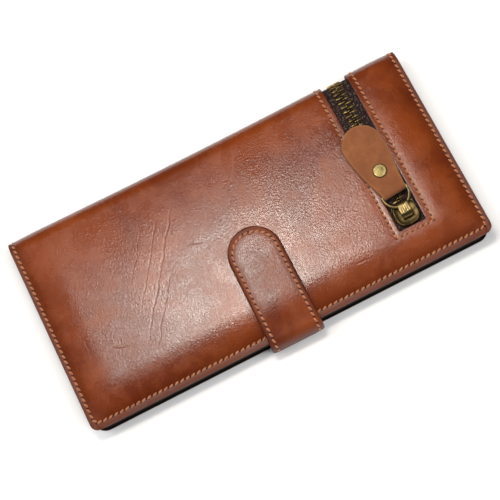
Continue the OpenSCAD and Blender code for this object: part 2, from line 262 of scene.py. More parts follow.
def suede(name, dark, light, mark):
    s = Shader(name, Specular_IOR_Level=0.3, Sheen_Weight=0.15, Sheen_Roughness=0.5)
    nap = s.noise(1700, 5.0, 0.75)
    patch = s.noise(110, 5.0, 0.65, 0.4)
    rub = s.noise(420, 4.0, 0.7, 0.8)
    color = s.shade(patch, 0.35, 0.7, dark, light)
    color = s.shade(nap, 0.4, 0.8, color, mark, 0.35)
    color = s.shade(rub, 0.5, 0.72, color, dark, 0.5)
    edge = s.edge()
    color = s.mix(s.ramp(edge, 0.0, 1.2, 0.55, 0.0), color, mark)
    return s.finish(color, s.ramp(nap, 0.3, 0.8, 0.62, 0.8), s.bump(nap, 0.0001, 0.6))


def old_metal(name, bright, dull, rough=0.28, dirt_and_shade=0.5):
    s = Shader(name, Metallic=1.0)
    stain = s.noise(420, 5.0, 0.7, 0.5)
    scratch = s.noise(2400, 3.0, 0.6)
    color = s.shade(stain, 0.42, 0.68, bright, dull, dirt_and_shade)
    roughness = s.add(s.ramp(stain, 0.35, 0.75, rough, rough + 0.2), s.mul(scratch, 0.08))
    return s.finish(color, roughness, s.bump(scratch, 0.00003, 0.4))


def woven(name, dark, light, pitch, fleck, sheen=0.25, rough=0.85):
    """A plain weave, with its threads pitch metres apart."""
    s = Shader(name, Sheen_Weight=sheen, Sheen_Roughness=0.5, Specular_IOR_Level=0.25)
    warp = s.wave(2.0 / pitch / (2 * pi), "X")
    weft = s.wave(2.0 / pitch / (2 * pi), "Y")
    fuzz = s.noise(3000, 3.0, 0.7)
    weave = s.math("MAXIMUM", warp, s.mul(weft, 0.9))
    height = s.add(weave, s.mul(fuzz, 0.3))
    color = s.shade(height, 0.35, 1.2, dark, light)
    color = s.mix(s.ramp(s.noise(1400, 2.0, 0.8), 0.55, 0.64), color, fleck)
    return s.finish(color, s.ramp(fuzz, 0.3, 0.8, rough - 0.08, rough + 0.08), s.bump(height, 0.00012, 0.8))


def thread(name, tone, shade):
    s = Shader(name, Sheen_Weight=0.3, Sheen_Roughness=0.4)
    twist = s.noise(2200, 3.0, 0.6, 1.0)
    color = s.shade(twist, 0.35, 0.7, shade, tone)
    return s.finish(color, s.ramp(twist, 0.3, 0.7, 0.5, 0.7), s.bump(twist, 0.00008, 0.8))


def plain(name, tone, other, scale=300, rough=0.6, **principled):
    s = Shader(name, **principled)
    n = s.noise(scale, 4.0, 0.6)
    color = s.shade(n, 0.35, 0.7, tone, other)
    return s.finish(color, s.ramp(n, 0.3, 0.8, rough - 0.06, rough + 0.06), s.bump(n, 0.00004, 0.4))


FRONT_CREASES = (
    (-0.0190, 0.0346, -0.0638, -0.0290, 0.0008, 0.0009),
    (-0.0300, 0.0290, -0.0590, -0.0130, 0.0005, 0.0009),
    (-0.0350, 0.0040, -0.0600, -0.0330, 0.0005, 0.0008),
    (-0.0410, 0.0250, -0.0560, 0.0020, 0.0004, 0.0009),
    (-0.0760, -0.0180, -0.0675, -0.0216, 0.0005),
    (-0.0275, 0.0084, -0.0175, 0.0053, 0.0005),
    (0.0525, 0.0060, 0.0560, 0.0035, 0.0006, 0.0004),
    (0.0535, 0.0040, 0.0575, 0.0020, 0.0005, 0.0004),
    (0.0360, -0.0352, 0.0460, -0.0362, 0.0007),
)
# The last tone darkens edges and creases: burnished edges in part, painted shade in the rest.
TONES = dict(dark=rgb(98, 36, 7), mid=rgb(124, 53, 12), light=rgb(140, 68, 24), burnish_and_shade_tone=rgb(70, 22, 4))
FRONT_LEATHER = leather("cover_leather_front", **TONES, creases=FRONT_CREASES)
BACK_LEATHER = leather("cover_leather_back", **TONES)
# The strap's last tone is that of its burnished edges and of the painted shade down its bend.
STRAP_LEATHER = leather("strap_leather", rgb(94, 34, 7), rgb(120, 50, 12), rgb(136, 66, 24), rgb(62, 19, 4),
                        rough=0.3, coat=0.0, grain=0.9, burnish_and_shade_w=3.5)
EDGE_PAINT = cut_leather("edge_leather", rgb(150, 88, 56), rgb(100, 46, 24))
# A darker copy of the edge paint for the back cover's rim: painted shade, as that edge lies low by the
# floor.
SHADED_EDGE_PAINT = cut_leather("edge_leather_painted_shade", rgb(62, 32, 20), rgb(34, 17, 11))
FLESH = cut_leather("flesh_side", rgb(40, 24, 18), rgb(24, 14, 10))
INNER_LEATHER = leather("inner_leather", rgb(24, 16, 14), rgb(34, 24, 21), rgb(44, 32, 28), rgb(15, 10, 9),
                        rough=0.45, coat=0.1, grain=0.8, burnish_and_shade_w=2.0)
STRAP_LINING = leather("strap_lining_leather", rgb(52, 28, 18), rgb(66, 36, 24), rgb(80, 46, 30),
                       rgb(36, 18, 12), rough=0.5, coat=0.05, burnish_and_shade_w=2.0)
PULL_LEATHER = suede("pull_leather", rgb(118, 68, 38), rgb(140, 84, 48), rgb(156, 102, 66))
BRASS = old_metal("old_brass", rgb(146, 128, 86), rgb(54, 43, 25))
# The slider's plate is a darker copy of the crown's brass: antique brass, darkened further as painted shade
# under the tab and crown.
PLATE_BRASS = old_metal("plate_brass_painted_shade", rgb(104, 88, 56), rgb(40, 31, 19), 0.34, 0.7)
TOOTH_BRASS = old_metal("tooth_brass", rgb(178, 152, 96), rgb(76, 60, 34), 0.36, 0.6)
RIVET_BRASS = old_metal("rivet_brass", rgb(168, 152, 104), rgb(112, 96, 58), 0.32, 0.45)
STEEL = old_metal("steel", rgb(170, 172, 176), rgb(110, 112, 116), 0.3, 0.3)
TAPE = woven("zip_tape_cloth", rgb(16, 10, 10), rgb(36, 25, 24), 0.0009, rgb(104, 84, 76), 0.0)
LINING = woven("lining_cloth", rgb(22, 19, 19), rgb(46, 41, 40), 0.0005, rgb(52, 46, 44), 0.05)
THREAD = thread("orange_thread", rgb(202, 138, 96), rgb(148, 84, 50))
DARK_THREAD = thread("dark_thread", rgb(52, 38, 32), rgb(26, 18, 15))
# Dark discs of painted shade standing in for the stitch holes.
HOLE_SHADE = plain("painted_hole_shade", rgb(40, 16, 9), rgb(64, 28, 15), 700, 0.8)
MAGNET = plain("magnet_rubber", rgb(26, 26, 27), rgb(40, 40, 41), 500, 0.65)
FILM = plain("clear_film", rgb(228, 232, 234), rgb(222, 227, 230), 30, 0.14, Transmission_Weight=0.85,
             IOR=1.45)


# ---- mesh helpers


def mesh(name, verts, faces, materials):
    """An object of vertices in millimetres. materials is one material, or several."""
    data = bpy.data.meshes.new(name)
    data.from_pydata([(x * MM, y * MM, z * MM) for x, y, z in verts], [], faces)
    data.update()
    for m in materials if isinstance(materials, (list, tuple)) else [materials]:
        data.materials.append(m)
    obj = bpy.data.objects.new(name, data)
    scene.collection.objects.link(obj)
    for p in data.polygons:
        p.use_smooth = len(p.vertices) < 5
    return obj


def edit(obj, change):
    """Changes the object's mesh as a bmesh."""
    bm = bmesh.new()
    bm.from_mesh(obj.data)
    change(bm)
    bm.to_mesh(obj.data)
    bm.free()
    return obj


def outward(obj):
    """Turns every face of a closed mesh to look outwards."""
    return edit(obj, lambda bm: bmesh.ops.recalc_face_normals(bm, faces=bm.faces))


def drop_loose(obj):
    """Deletes the vertices that no face uses."""
    def drop(bm):
        bmesh.ops.delete(bm, geom=[v for v in bm.verts if not v.link_faces], context="VERTS")
    return edit(obj, drop)


def bake(obj):
    """Applies the object's modifiers to its mesh."""
    bpy.context.view_layer.update()
    done = bpy.data.meshes.new_from_object(obj.evaluated_get(bpy.context.evaluated_depsgraph_get()))
    obj.modifiers.clear()
    obj.data = done
    done.name = obj.name
    return obj


def bevel(obj, width, angle=50):
    m = obj.modifiers.new("bevel", "BEVEL")
    m.width = width * MM
    m.segments = 2
    m.limit_method = "ANGLE"
    m.angle_limit = radians(angle)
    return obj


def thicken(obj, thickness, offset):
    m = obj.modifiers.new("thicken", "SOLIDIFY")
    m.thickness, m.offset = thickness * MM, offset
    return obj


def paint(obj, value):
    """Stores value(x, y, z), of a place in millimetres, as each vertex's distance from an edge."""
    layer = obj.data.attributes.new("edge", "FLOAT", "POINT")
    layer.data.foreach_set("value", [value(*(v.co / MM)) for v in obj.data.vertices])
    return obj


def grid_faces(rows, cols, flip=False, keep=lambda i, j: True):
    faces = []
    for i in range(rows - 1):
        for j in range(cols - 1):
            if keep(i, j):
                a = i * cols + j
                f = (a, a + 1, a + cols + 1, a + cols)
                faces.append(f[::-1] if flip else f)
    return faces


def ring_faces(rings, count, caps=True):
    faces = []
    for i in range(rings - 1):
        for j in range(count):
            k = (j + 1) % count
            faces.append((i * count + j, i * count + k, (i + 1) * count + k, (i + 1) * count + j))
    if caps:
        faces.append(tuple(range(count - 1, -1, -1)))
        faces.append(tuple((rings - 1) * count + j for j in range(count)))
    return faces


def loft(name, rings, material):
    """A closed shape through rings of points."""
    verts = [p for ring in rings for p in ring]
    return outward(mesh(name, verts, ring_faces(len(rings), len(rings[0])), material))


class Soup:
    """Several closed shapes gathered into one mesh."""

    def __init__(self):
        self.verts, self.faces = [], []

    def add(self, verts, faces):
        n = len(self.verts)
        self.verts += verts
        self.faces += [tuple(n + i for i in f) for f in faces]

    def obj(self, name, material):
        return outward(mesh(name, self.verts, self.faces, material))


def around(p, side, top, a, b, count):
    """Points round p, a away along side and b away along top."""
    angles = [2 * pi * k / count for k in range(count)]
    return [p + side * (a * cos(w)) + top * (b * sin(w)) for w in angles]


def lines(start, stop, step, extra=()):
    """Grid lines from start to stop, about step apart, and the extra ones with nothing close to them."""
    count = max(2, round((stop - start) / step))
    extra = sorted(e for e in extra if start <= e <= stop)
    plain_lines = [start + (stop - start) * i / count for i in range(count + 1)]
    plain_lines = [v for v in plain_lines if all(abs(v - e) > step * 0.3 for e in extra)]
    ends = [v for v in (start, stop) if all(abs(v - e) > 0.05 for e in extra + plain_lines)]
    return sorted(plain_lines + extra + ends)


def spread(count, power):
    """Numbers from -1 to 1, closer together towards both ends."""
    steps = [-1 + 2 * k / (count - 1) for k in range(count)]
    return [copysign(abs(u) ** power, u) for u in steps]


def smoothstep(t):
    t = min(max(t, 0.0), 1.0)
    return t * t * (3 - 2 * t)


def directions(points):
    """The direction of travel at each point of a path."""
    last = len(points) - 1
    return [(points[min(i + 1, last)] - points[max(i - 1, 0)]).normalized() for i in range(last + 1)]


def closed_wire(points, radius, sides):
    """A round wire along a closed path, as vertices and faces."""
    pts = [Vector(p) for p in points]
    n = len(pts)
    verts = []
    up = Vector((0.0312, 0.021, 1.0)).normalized()
    for i, p in enumerate(pts):
        t = (pts[(i + 1) % n] - pts[i - 1]).normalized()
        side = t.cross(up).normalized()
        verts += around(p, side, side.cross(t), radius, radius, sides)
    faces = ring_faces(n, sides, False)
    last = (n - 1) * sides
    return verts, faces + [(last + j, last + (j + 1) % sides, (j + 1) % sides, j) for j in range(sides)]


def fillet(corners, radii, step):
    """A path through corners in a plane, rounded at each inner one, with points about step apart."""
    pts = [Vector(c) for c in corners]
    out = [pts[0]]
    for i in range(1, len(pts) - 1):
        a, p, b = pts[i - 1], pts[i], pts[i + 1]
        u, v = (a - p).normalized(), (b - p).normalized()
        half = acos(max(-1, min(1, u.dot(v)))) / 2
        r = radii[i - 1]
        cut = r / tan(half)
        centre = p + (u + v).normalized() * (r / sin(half))
        start, end = p + u * cut, p + v * cut
        turn = pi - 2 * half
        n = max(3, ceil(r * turn / step))
        s0 = start - centre
        sign = 1 if s0.cross(end - centre) > 0 else -1
        for k in range(n + 1):
            w = sign * turn * k / n
            c, s = cos(w), sin(w)
            out.append(centre + Vector((s0.x * c - s0.y * s, s0.x * s + s0.y * c)))
    out.append(pts[-1])
    dense = [out[0]]
    for p in out[1:]:
        for k in range(1, round((p - dense[-1]).length / (step * 2))):
            dense.append(dense[-1] + (p - dense[-1]).normalized() * step * 2)
        dense.append(p)
    return dense


def arc(cx, cy, r, degrees):
    return [(cx + r * cos(radians(w)), cy + r * sin(radians(w))) for w in degrees]


def lengths(points):
    """How far each point is along a path."""
    out = [0.0]
    for a, b in zip(points, points[1:]):
        out.append(out[-1] + (b - a).length)
    return out


def locate(at, d):
    """The piece of a path that holds the length d, and how far into the piece it lies, from 0 to 1."""
    i = next((j for j in range(1, len(at)) if at[j] >= d - 1e-9), len(at) - 1)
    return i, (d - at[i - 1]) / max(at[i] - at[i - 1], 1e-9)


# ---- the outer leather's surface


def puff(d):
    """How far the front has risen at d from a sewn edge, from 0 to 1."""
    t = min(max((d - 1.6) / 18, 0.0), 1.0)
    return (1 - (1 - t) ** 2.1) * smoothstep((d - 1.0) / 4.5)


def sag(x, y):
    """Small unevenness of the front, in millimetres."""
    mid = smoothstep((HALF_L - abs(x) - 6) / 20) * smoothstep((y - EDGE_Y - 6) / 20)
    n = noise.noise((x / 34, y / 26, 0.3)) + 0.5 * noise.noise((x / 13, y / 11, 4.1))
    return mid * (0.07 * n - 0.1)


def side_height(x):
    """The wallet's height at the spine, which is lower at its sewn ends."""
    return BORDER_Z + (HEIGHT - SPINE_DROP - BORDER_Z) * puff(HALF_L - abs(x))


def spine_out(x):
    """The spine is pulled in a little in its middle."""
    return OUT_Y - 1.1 * (1 - (x / HALF_L) ** 2)


def front_z(x, y):
    rise = puff(HALF_L - abs(x)) * puff(y - EDGE_Y)
    fall = SPINE_DROP * min(max((y - FALL_Y) / (SPINE_Y - FALL_Y), 0.0), 1.0) ** 2
    return BORDER_Z + (HEIGHT - fall - BORDER_Z) * rise + sag(x, y)


def outer(x, s, front=True, sink=0.0):
    """A point of the leather at s from the open edge, measured over the flat and round the spine.
    sink is how far it lies under the surface."""
    h = side_height(x)
    r = h / 2
    yc = spine_out(x) - r
    flat = yc - EDGE_Y
    if s <= flat:
        y = EDGE_Y + s
        return Vector((x, y, front_z(x, y) - sink if front else sink))
    w = (s - flat) / r
    z = r + (r - sink) * cos(w)
    z = z + sag(x, yc) * smoothstep(1 - w / 0.5) if front else h - z
    return Vector((x, yc + (r - sink) * sin(w), z))


def spine_s(x):
    """The length from the open edge to the outermost line of the spine."""
    r = side_height(x) / 2
    return spine_out(x) - r - EDGE_Y + r * pi / 2


def outer_normal(x, s, front=True):
    e = 0.05
    du = outer(x + e, s, front) - outer(x - e, s, front)
    dv = outer(x, s + e, front) - outer(x, s - e, front)
    n = du.cross(dv).normalized()
    return n if front else -n


def stitch_groove(x, y, front):
    """How deep the seams press into the leather at this place."""
    d = min(abs(HALF_L - abs(x) - STITCH_SIDE), abs(y - EDGE_Y - STITCH_EDGE))
    outside = HALF_L - abs(x) < STITCH_SIDE - 1.2 or y - EDGE_Y < STITCH_EDGE - 1.2
    g = 0.0 if outside and d > 1.2 else GROOVE * exp(-(d / GROOVE_W) ** 2)
    y0 = WIN_Y[front]
    dx = abs(abs(x - ZIP_X) - WINDOW_W / 2 - SEAM_X)
    dy = abs(y0 - SEAM_Y - y)
    w = 9.0
    if y > y0 - SEAM_Y:
        w = dx
    elif abs(x - ZIP_X) < WINDOW_W / 2 + 3.4:
        w = dy
    return (g + 0.1 * exp(-(w / 0.9) ** 2)) * (1 if front else BACK_SEAM)


def slab(name, outside, inside, faces, materials):
    """A sheet between two sets of matching points, closed along its edges. materials are those of the
    outside, the cut edges and the inside."""
    n = len(outside)
    sides = [(f[k], f[(k + 1) % 4]) for f in faces for k in range(4)]
    known = set(sides)
    rim = [(b, a, a + n, b + n) for a, b in sides if (b, a) not in known]
    under = [tuple(i + n for i in f[::-1]) for f in faces]
    obj = mesh(name, outside + inside, faces + under + rim, materials)
    obj.data.polygons.foreach_set("material_index", [0] * len(faces) + [2] * len(under) + [1] * len(rim))
    drop_loose(obj)
    return bake(bevel(obj, 0.3))


def cover(name, front, material):
    """One half of the outer leather, from the open edge to the spine's outermost line."""
    flat_end, tail, side_w = 30, 18, 8  # the last flat line, the lines round the spine, the corners' width
    seam = (-0.7, -0.35, 0, 0.35, 0.7)
    near = (0, 0.35, 0.8, 1.3, 1.7, 2.1, 2.5, 2.9, 3.5, 4.4, 5.6, 7.0, 8.6, 10.4, 12.4, 14.6, 17)
    xs = [HALF_L - d for d in near] + [d - HALF_L for d in near]
    for side in (-1, 1):
        base = ZIP_X + side * WINDOW_W / 2
        xs += [base, base + side * 0.5, base + side * 1.2]
        xs += [base + side * (SEAM_X + d) for d in seam]
    xs = lines(-HALF_L, HALF_L, 2.6, xs)
    y0 = WIN_Y[front]
    near = (0, 0.12, 0.35, 0.7, 1.1, 1.5, 1.95, 2.35, 2.75, 3.15, 3.6, 4.4, 5.6, 7.2, 9, 11, 13.2, 15.4)
    ys = [EDGE_Y + d for d in near] + [y0, y0 - 0.5, y0 - 1.1] + [y0 - SEAM_Y + d for d in seam]
    ys = lines(EDGE_Y, flat_end, 2.4, ys)
    corner = CORNER_R if front else CORNER_R + BACK_CORNER
    rows = len(ys) + tail
    verts, inside = [], []
    for i in range(rows):
        for x in xs:
            if i < len(ys):
                s = ys[i] - EDGE_Y
            else:
                s = flat_end - EDGE_Y + (spine_s(x) - flat_end + EDGE_Y) * (i - len(ys) + 1) / tail
            p = outer(x, s, front)
            n = outer_normal(x, s, front)
            inner = HALF_L - side_w
            if i < len(ys) and s < corner and abs(x) > inner:
                reach = HALF_L - corner + sqrt(max(0, corner ** 2 - (corner - s) ** 2))
                p.x = copysign(inner + (abs(x) - inner) * (reach - inner) / side_w, x)
            verts.append(p - n * stitch_groove(x, EDGE_Y + s, front))
            inside.append(p - n * LEATHER)

    def keep(i, j):
        mid_x = (xs[j] + xs[j + 1]) / 2
        mid_y = (ys[i] + ys[i + 1]) / 2 if i + 1 < len(ys) else flat_end + 1
        return not (WIN_X0 < mid_x < WIN_X1 and mid_y > y0)

    faces = grid_faces(rows, len(xs), not front, keep)
    obj = slab(name, verts, inside, faces, [material, EDGE_PAINT if front else SHADED_EDGE_PAINT, FLESH])

    def edge(x, y, z):
        window = max(abs(x - ZIP_X) - WINDOW_W / 2, y0 - y, 0.0)
        # The spine's roll counts as an edge and is darkened: burnished leather in part, painted shade where
        # it turns from the light.
        return min(HALF_L - abs(x), y - EDGE_Y, OUT_Y - y + 2.5, 2.5 + 4 * window)

    return paint(obj, edge)


def bend_at_spine(obj):
    """Bakes the transform of a piece that runs from one half of the wallet over to the spine's outermost
    line into its mesh; it doesn't bend it.
    """
    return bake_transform(obj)


front_cover = cover("front_leather", True, FRONT_LEATHER)
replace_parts(front_cover, "front_cover", "spine_leather")
back_cover = cover("back_leather", False, BACK_LEATHER)
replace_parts(back_cover, "back_cover")
for obj, front in ((front_cover, True), (back_cover, False)):
    bend_at_spine(obj)


# ---- stitches


class Seam:
    """Stitches and dark discs for the holes that they go into, gathered into two pieces. The discs are
    painted shade inside the holes.
    """

    def __init__(self):
        self.threads, self.holes = Soup(), Soup()

    def stitch(self, a, b, normal, lean=0.34, radius=0.5, rise=0.3):
        """One stitch between two points on a surface, and a dark disc of painted shade for the hole it goes
        into.
        """
        n = normal.normalized()
        along = b - a
        across = n.cross(along).normalized()
        shift = across * along.length * lean * 0.5
        pts, rs = [], []
        for k in range(7):
            u = k / 6
            lift = rise * sin(pi * u) ** 0.6 - 0.2 * (1 - sin(pi * u))
            pts.append(a + along * (0.11 + 0.78 * u) + shift * (2 * u - 1) + n * lift)
            rs.append(radius * (0.72 + 0.28 * sin(pi * u)))
        verts = []
        for p, t, r in zip(pts, directions(pts), rs):
            side = n.cross(t).normalized()
            verts += around(p, side, t.cross(side), r, r * 0.8, 6)
        self.threads.add(verts, ring_faces(7, 6))
        # The hole is a dark disc sunk a little into the leather: painted shade, not a real hole.
        centre = a - n * 0.12
        disc = []
        for r, h in ((0.8, 0.0), (0.72, 0.2), (0.4, 0.25)):
            disc += [p + n * h for p in around(centre, along.normalized(), across, r * 0.75, r, 8)]
        self.holes.add(disc, ring_faces(3, 8))

    def run(self, path, surface, pitch=STITCH_PITCH, **look):
        """Stitches along a path of flat coordinates. surface turns a flat point into a place and its
        normal."""
        path = [Vector(p) for p in path]
        at = lengths(path)
        count = max(1, round(at[-1] / pitch))
        marks = []
        for k in range(count + 1):
            i, t = locate(at, at[-1] * k / count)
            marks.append(surface(*path[i - 1].lerp(path[i], t)))
        for (a, na), (b, nb) in zip(marks, marks[1:]):
            self.stitch(a, b, na + nb, **look)

    def pieces(self, name, hole_shade_name, tone=THREAD):
        return (self.threads.obj(name, tone),
                self.holes.obj(hole_shade_name, HOLE_SHADE))


def on_cover(front):
    def place(x, s):
        n = outer_normal(x, s, front)
        return outer(x, s, front) - n * (0.18 if front else 0.68), n
    return place


def straight(x0, y0, x1, y1, n=60):
    return [(x0 + (x1 - x0) * i / n, y0 + (y1 - y0) * i / n) for i in range(n + 1)]


for front in (True, False):
    seam = Seam()
    side_x = HALF_L - STITCH_SIDE
    end_s = spine_s(side_x) - 0.6
    r = 2.4
    border = straight(-side_x, end_s, -side_x, STITCH_EDGE + r)
    border += arc(-side_x + r, STITCH_EDGE + r, r, range(180, 271, 15))
    border += straight(-side_x + r, STITCH_EDGE, side_x - r, STITCH_EDGE)
    border += arc(side_x - r, STITCH_EDGE + r, r, range(270, 361, 15))
    border += straight(side_x, STITCH_EDGE + r, side_x, end_s)
    seam.run(border, on_cover(front))
    s0 = WIN_Y[front] - SEAM_Y - EDGE_Y
    left, right = WIN_X0 - SEAM_X, WIN_X1 + SEAM_X
    end_s = spine_s(ZIP_X) - 0.5
    for run in ((left, s0, left, end_s), (right, s0, right, end_s), (left, s0, right, s0)):
        seam.run(straight(*run), on_cover(front))
    for piece in seam.pieces(f"{SIDE[front]}_stitches", f"{SIDE[front]}_stitch_holes"):
        bend_at_spine(piece)


# ---- strap

lo, hi = cad("strap_tongue_outer")
STRAP_W, STRAP_TIP = hi.x - lo.x, hi.y
LAYER = 1.1
GAP, SLACK = 0.15, 0.2  # under the strap on the front, and past its lining at the open edge
SWING_Z = cad("strap_anchor")[0].z + 0.45
STRAP_OUT = cad("strap_bend_lining")[0].y
# The strap comes to lie on the front at strap_on, and slopes down from there past the open edge.
strap_on = EDGE_Y + 6.0
on_z, past_z = front_z(0, strap_on) + GAP + LAYER, BORDER_Z + 0.1 + LAYER
corner_z = past_z - (on_z - past_z) / (strap_on - EDGE_Y) * (EDGE_Y - STRAP_OUT + SLACK)
strap_path = fillet([(EDGE_Y + 15, SWING_Z), (STRAP_OUT - SLACK, SWING_Z), (STRAP_OUT - SLACK, corner_z),
                     (strap_on, on_z)], [3.0, 4.4], 0.45)
for k in range(1, 61):
    y = strap_on + (STRAP_TIP - strap_on) * k / 60
    strap_path.append(Vector((y, front_z(0, y) + GAP + LAYER)))
strap_at = lengths(strap_path)
STRAP_LEN = strap_at[-1]
split = next(i for i, p in enumerate(strap_path) if p.y > 8.0 and p.x < EDGE_Y)


INSET = 2.4  # from the strap's edge to its seam


def strap_half_width(s):
    """Half of the strap's width at s from its hidden end, round at its tip."""
    r = STRAP_W / 2
    left = STRAP_LEN - s
    narrow = 1 - 0.025 * smoothstep(s / STRAP_LEN)
    if left >= r:
        return r * narrow
    return sqrt(max(0.0, r * r - (r - left) ** 2)) * narrow


def strap_frame(s):
    i, t = locate(strap_at, s)
    a, b = strap_path[i - 1], strap_path[i]
    lo_i, hi_i = max(i - 2, 0), min(i + 1, len(strap_path) - 1)
    d = (strap_path[hi_i] - strap_path[lo_i]).normalized()
    p = a.lerp(b, t)
    return p, Vector((0, -d.y, d.x)), d


def strap_layer(name, first, last, outer_side):
    """One layer of the strap between two points of its path."""
    across = spread(17, 0.75)
    stations = strap_at[first:last + 1]
    if last == len(strap_path) - 1:
        tip = 12.8
        stations = [s for s in stations if s < STRAP_LEN - tip - 0.2]
        stations += [STRAP_LEN - tip + tip * sin(pi / 2 * k / 18) for k in range(19)]
    rings = []
    top, low = (LAYER, 0.0) if outer_side else (0.0, -LAYER)
    for s in stations:
        s = min(s, STRAP_LEN)
        p, n, d = strap_frame(s)
        half = max(strap_half_width(s), 0.35)
        ring = []
        for upper in (True, False):
            for u in across if upper else across[::-1]:
                near = min(half * (1 - abs(u)), STRAP_LEN - s)
                v = top if upper else low
                if upper and outer_side:
                    v += 0.12 * smoothstep(near / 6) - 0.16 * exp(-((near - INSET) / GROOVE_W) ** 2)
                if upper == outer_side:
                    v += (-0.38 if upper else 0.38) * (1 - smoothstep(near / 0.8))
                ring.append((half * u, p.x + n.y * v, p.y + n.z * v))
        rings.append(ring)
    obj = loft(name, rings, STRAP_LEATHER if outer_side else STRAP_LINING)

    def edge(x, y, z):
        tip = y - STRAP_TIP + STRAP_W / 2
        side = STRAP_W / 2 - (hypot(x, tip) if tip > 0 else abs(x))
        # Down the bend over the open edge the value falls with height, so the strap is painted darker and
        # duller there: painted shade.
        rise = smoothstep((z - R) / (BORDER_Z - R))
        return min(side, -0.6 + 2.4 * rise + 0.45 * max(0.0, y - EDGE_Y + 1))

    paint(obj, edge)
    return obj


def bend_strap(obj):
    """Bakes the transform of a piece of the strap into its mesh; it doesn't bend it where its tongue lifts
    or where the strap leaves the back half.
    """
    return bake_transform(obj)


for upper in (False, True):
    first, last = (split, len(strap_path) - 1) if upper else (0, split)
    for outer_side in (True, False):
        layer = "outer" if outer_side else "lining"
        piece = strap_layer(f"strap_{layer}_{'top' if upper else 'low'}", first, last, outer_side)
        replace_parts(piece, f"strap_{'tongue' if upper else 'bend'}_{layer}")
        if outer_side and not upper:
            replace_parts(piece, "strap_anchor")
        bend_strap(piece)


def on_strap(side):
    def place(x, s):
        p, n, d = strap_frame(min(s, STRAP_LEN))
        v = side * (LAYER - (0.14 if side > 0 else 0.05))
        return Vector((x, p.x + n.y * v, p.y + n.z * v)), n * side
    return place


rim = STRAP_W / 2 - INSET - 0.15
tip_s = STRAP_LEN - STRAP_W / 2
for upper in (False, True):
    for side in (1, -1):
        seam = Seam()
        mid = strap_at[split] + 0.5
        if upper:
            turn = [(rim * sin(radians(w)), tip_s + rim * cos(radians(w))) for w in range(-90, 91, 6)]
            paths = [straight(-rim, mid, -rim, tip_s) + turn + straight(rim, tip_s, rim, mid)]
        else:
            paths = [straight(x, 17.0, x, mid) for x in (-rim, rim)]
        for path in paths:
            seam.run(path, on_strap(side), lean=0.3)
        label = f"strap_{'top' if upper else 'low'}_{'outer' if side > 0 else 'inner'}"
        for piece in seam.pieces(f"{label}_stitches", f"{label}_stitch_holes"):
            bend_strap(piece)


# ---- zip


def zip_place(x, s, v, front):
    """A point of the zip at height v over its middle. It is level where the slider runs, then follows
    the leather over the spine."""
    p = outer(x, s, front, HEIGHT - TAPE_Z - v)
    if front:
        p.z += (TAPE_Z + v - p.z) * smoothstep((SPINE_Y - p.y) / 3.6)
    return p


TAPE_HALF = 0.28


def tape_strip(name, side, front):
    """One half of the tape from its sewn edge to the bead under its teeth, along the leather."""
    x0 = TAPE_X0 if side < 0 else 2 * ZIP_X - TAPE_X0
    inner = ZIP_X + side * 0.75
    s0 = WIN_Y[front] - TUCK - EDGE_Y
    rows = 60
    bead, lip = inner + side * 0.7, inner + side * 0.35
    section = [(x0 + (inner - x0) * k / 8, TAPE_HALF) for k in range(7)]
    section += [(bead, TAPE_HALF), (lip, 0.62), (inner, 0.5), (inner, -0.3), (lip, -0.55),
                (bead, -TAPE_HALF), (x0, -TAPE_HALF)]
    rings = []
    for i in range(rows):
        s = s0 + (spine_s(ZIP_X) - s0) * i / (rows - 1)
        rings.append([zip_place(x, s, v, front) for x, v in section])
    return loft(name, rings, TAPE)


bm = bmesh.new()
bmesh.ops.create_cube(bm, size=1.0)
bmesh.ops.bevel(bm, geom=bm.edges[:], offset=0.2, segments=2, affect="EDGES", profile=0.5)
TOOTH = ([tuple(v.co) for v in bm.verts], [tuple(v.index for v in f.verts) for f in bm.faces])
bm.free()


def tooth(soup, s, side, front):
    """One metal tooth clamped on the tape's bead: a wide body and a narrower head over the centre line."""
    for x0, x1, width, top, low in ((0.35, 3.4, 0.84, 0.96, -0.96), (-0.55, 0.8, 0.66, 0.84, -0.84)):
        verts = []
        for vx, vy, vz in TOOTH[0]:
            x = ZIP_X + side * (x0 + (x1 - x0) * (vx + 0.5))
            z = low + (top - low) * (vz + 0.5)
            z -= 0.22 * max(0.0, side * (x - ZIP_X) - 2.3) * (1 if z > 0 else -1)
            verts.append(zip_place(x, s + vy * width, z, front))
        soup.add(verts, TOOTH[1])


lo, hi = cad("zip_teeth_right")
TEETH_Y0, PITCH = lo.y + 0.35, 2.4
for front in (True, False):
    soup = Soup()
    end_s = spine_s(ZIP_X)
    s = (TEETH_Y0 if front else cad("zip_back_teeth")[0].y) - EDGE_Y
    row = 0
    while s < end_s - 0.4:
        tooth(soup, s, 1 if row % 2 == 0 else -1, front)
        s += PITCH / 2
        row += 1
    teeth = soup.obj(f"zip_teeth_{SIDE[front]}", TOOTH_BRASS)
    bend_at_spine(teeth)
    if front:
        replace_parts(teeth, "zip_teeth_left", "zip_teeth_right", "zip_spine_teeth")
    else:
        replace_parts(teeth, "zip_back_teeth")
    for x_side in (-1, 1):
        label = "left" if x_side < 0 else "right"
        piece = tape_strip(f"zip_tape_{SIDE[front]}_{label}", x_side, front)
        bend_at_spine(piece)
        if front:
            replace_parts(piece, f"zip_tape_{label}")
        else:
            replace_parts(piece, "zip_back_tape", "zip_spine_tape")

lo, hi = cad("slider_body")
SLIDER_Y = (lo.y + hi.y) / 2
SLIDER_W, SLIDER_L = hi.x - lo.x, hi.y - lo.y
top, low = hi.z, lo.z


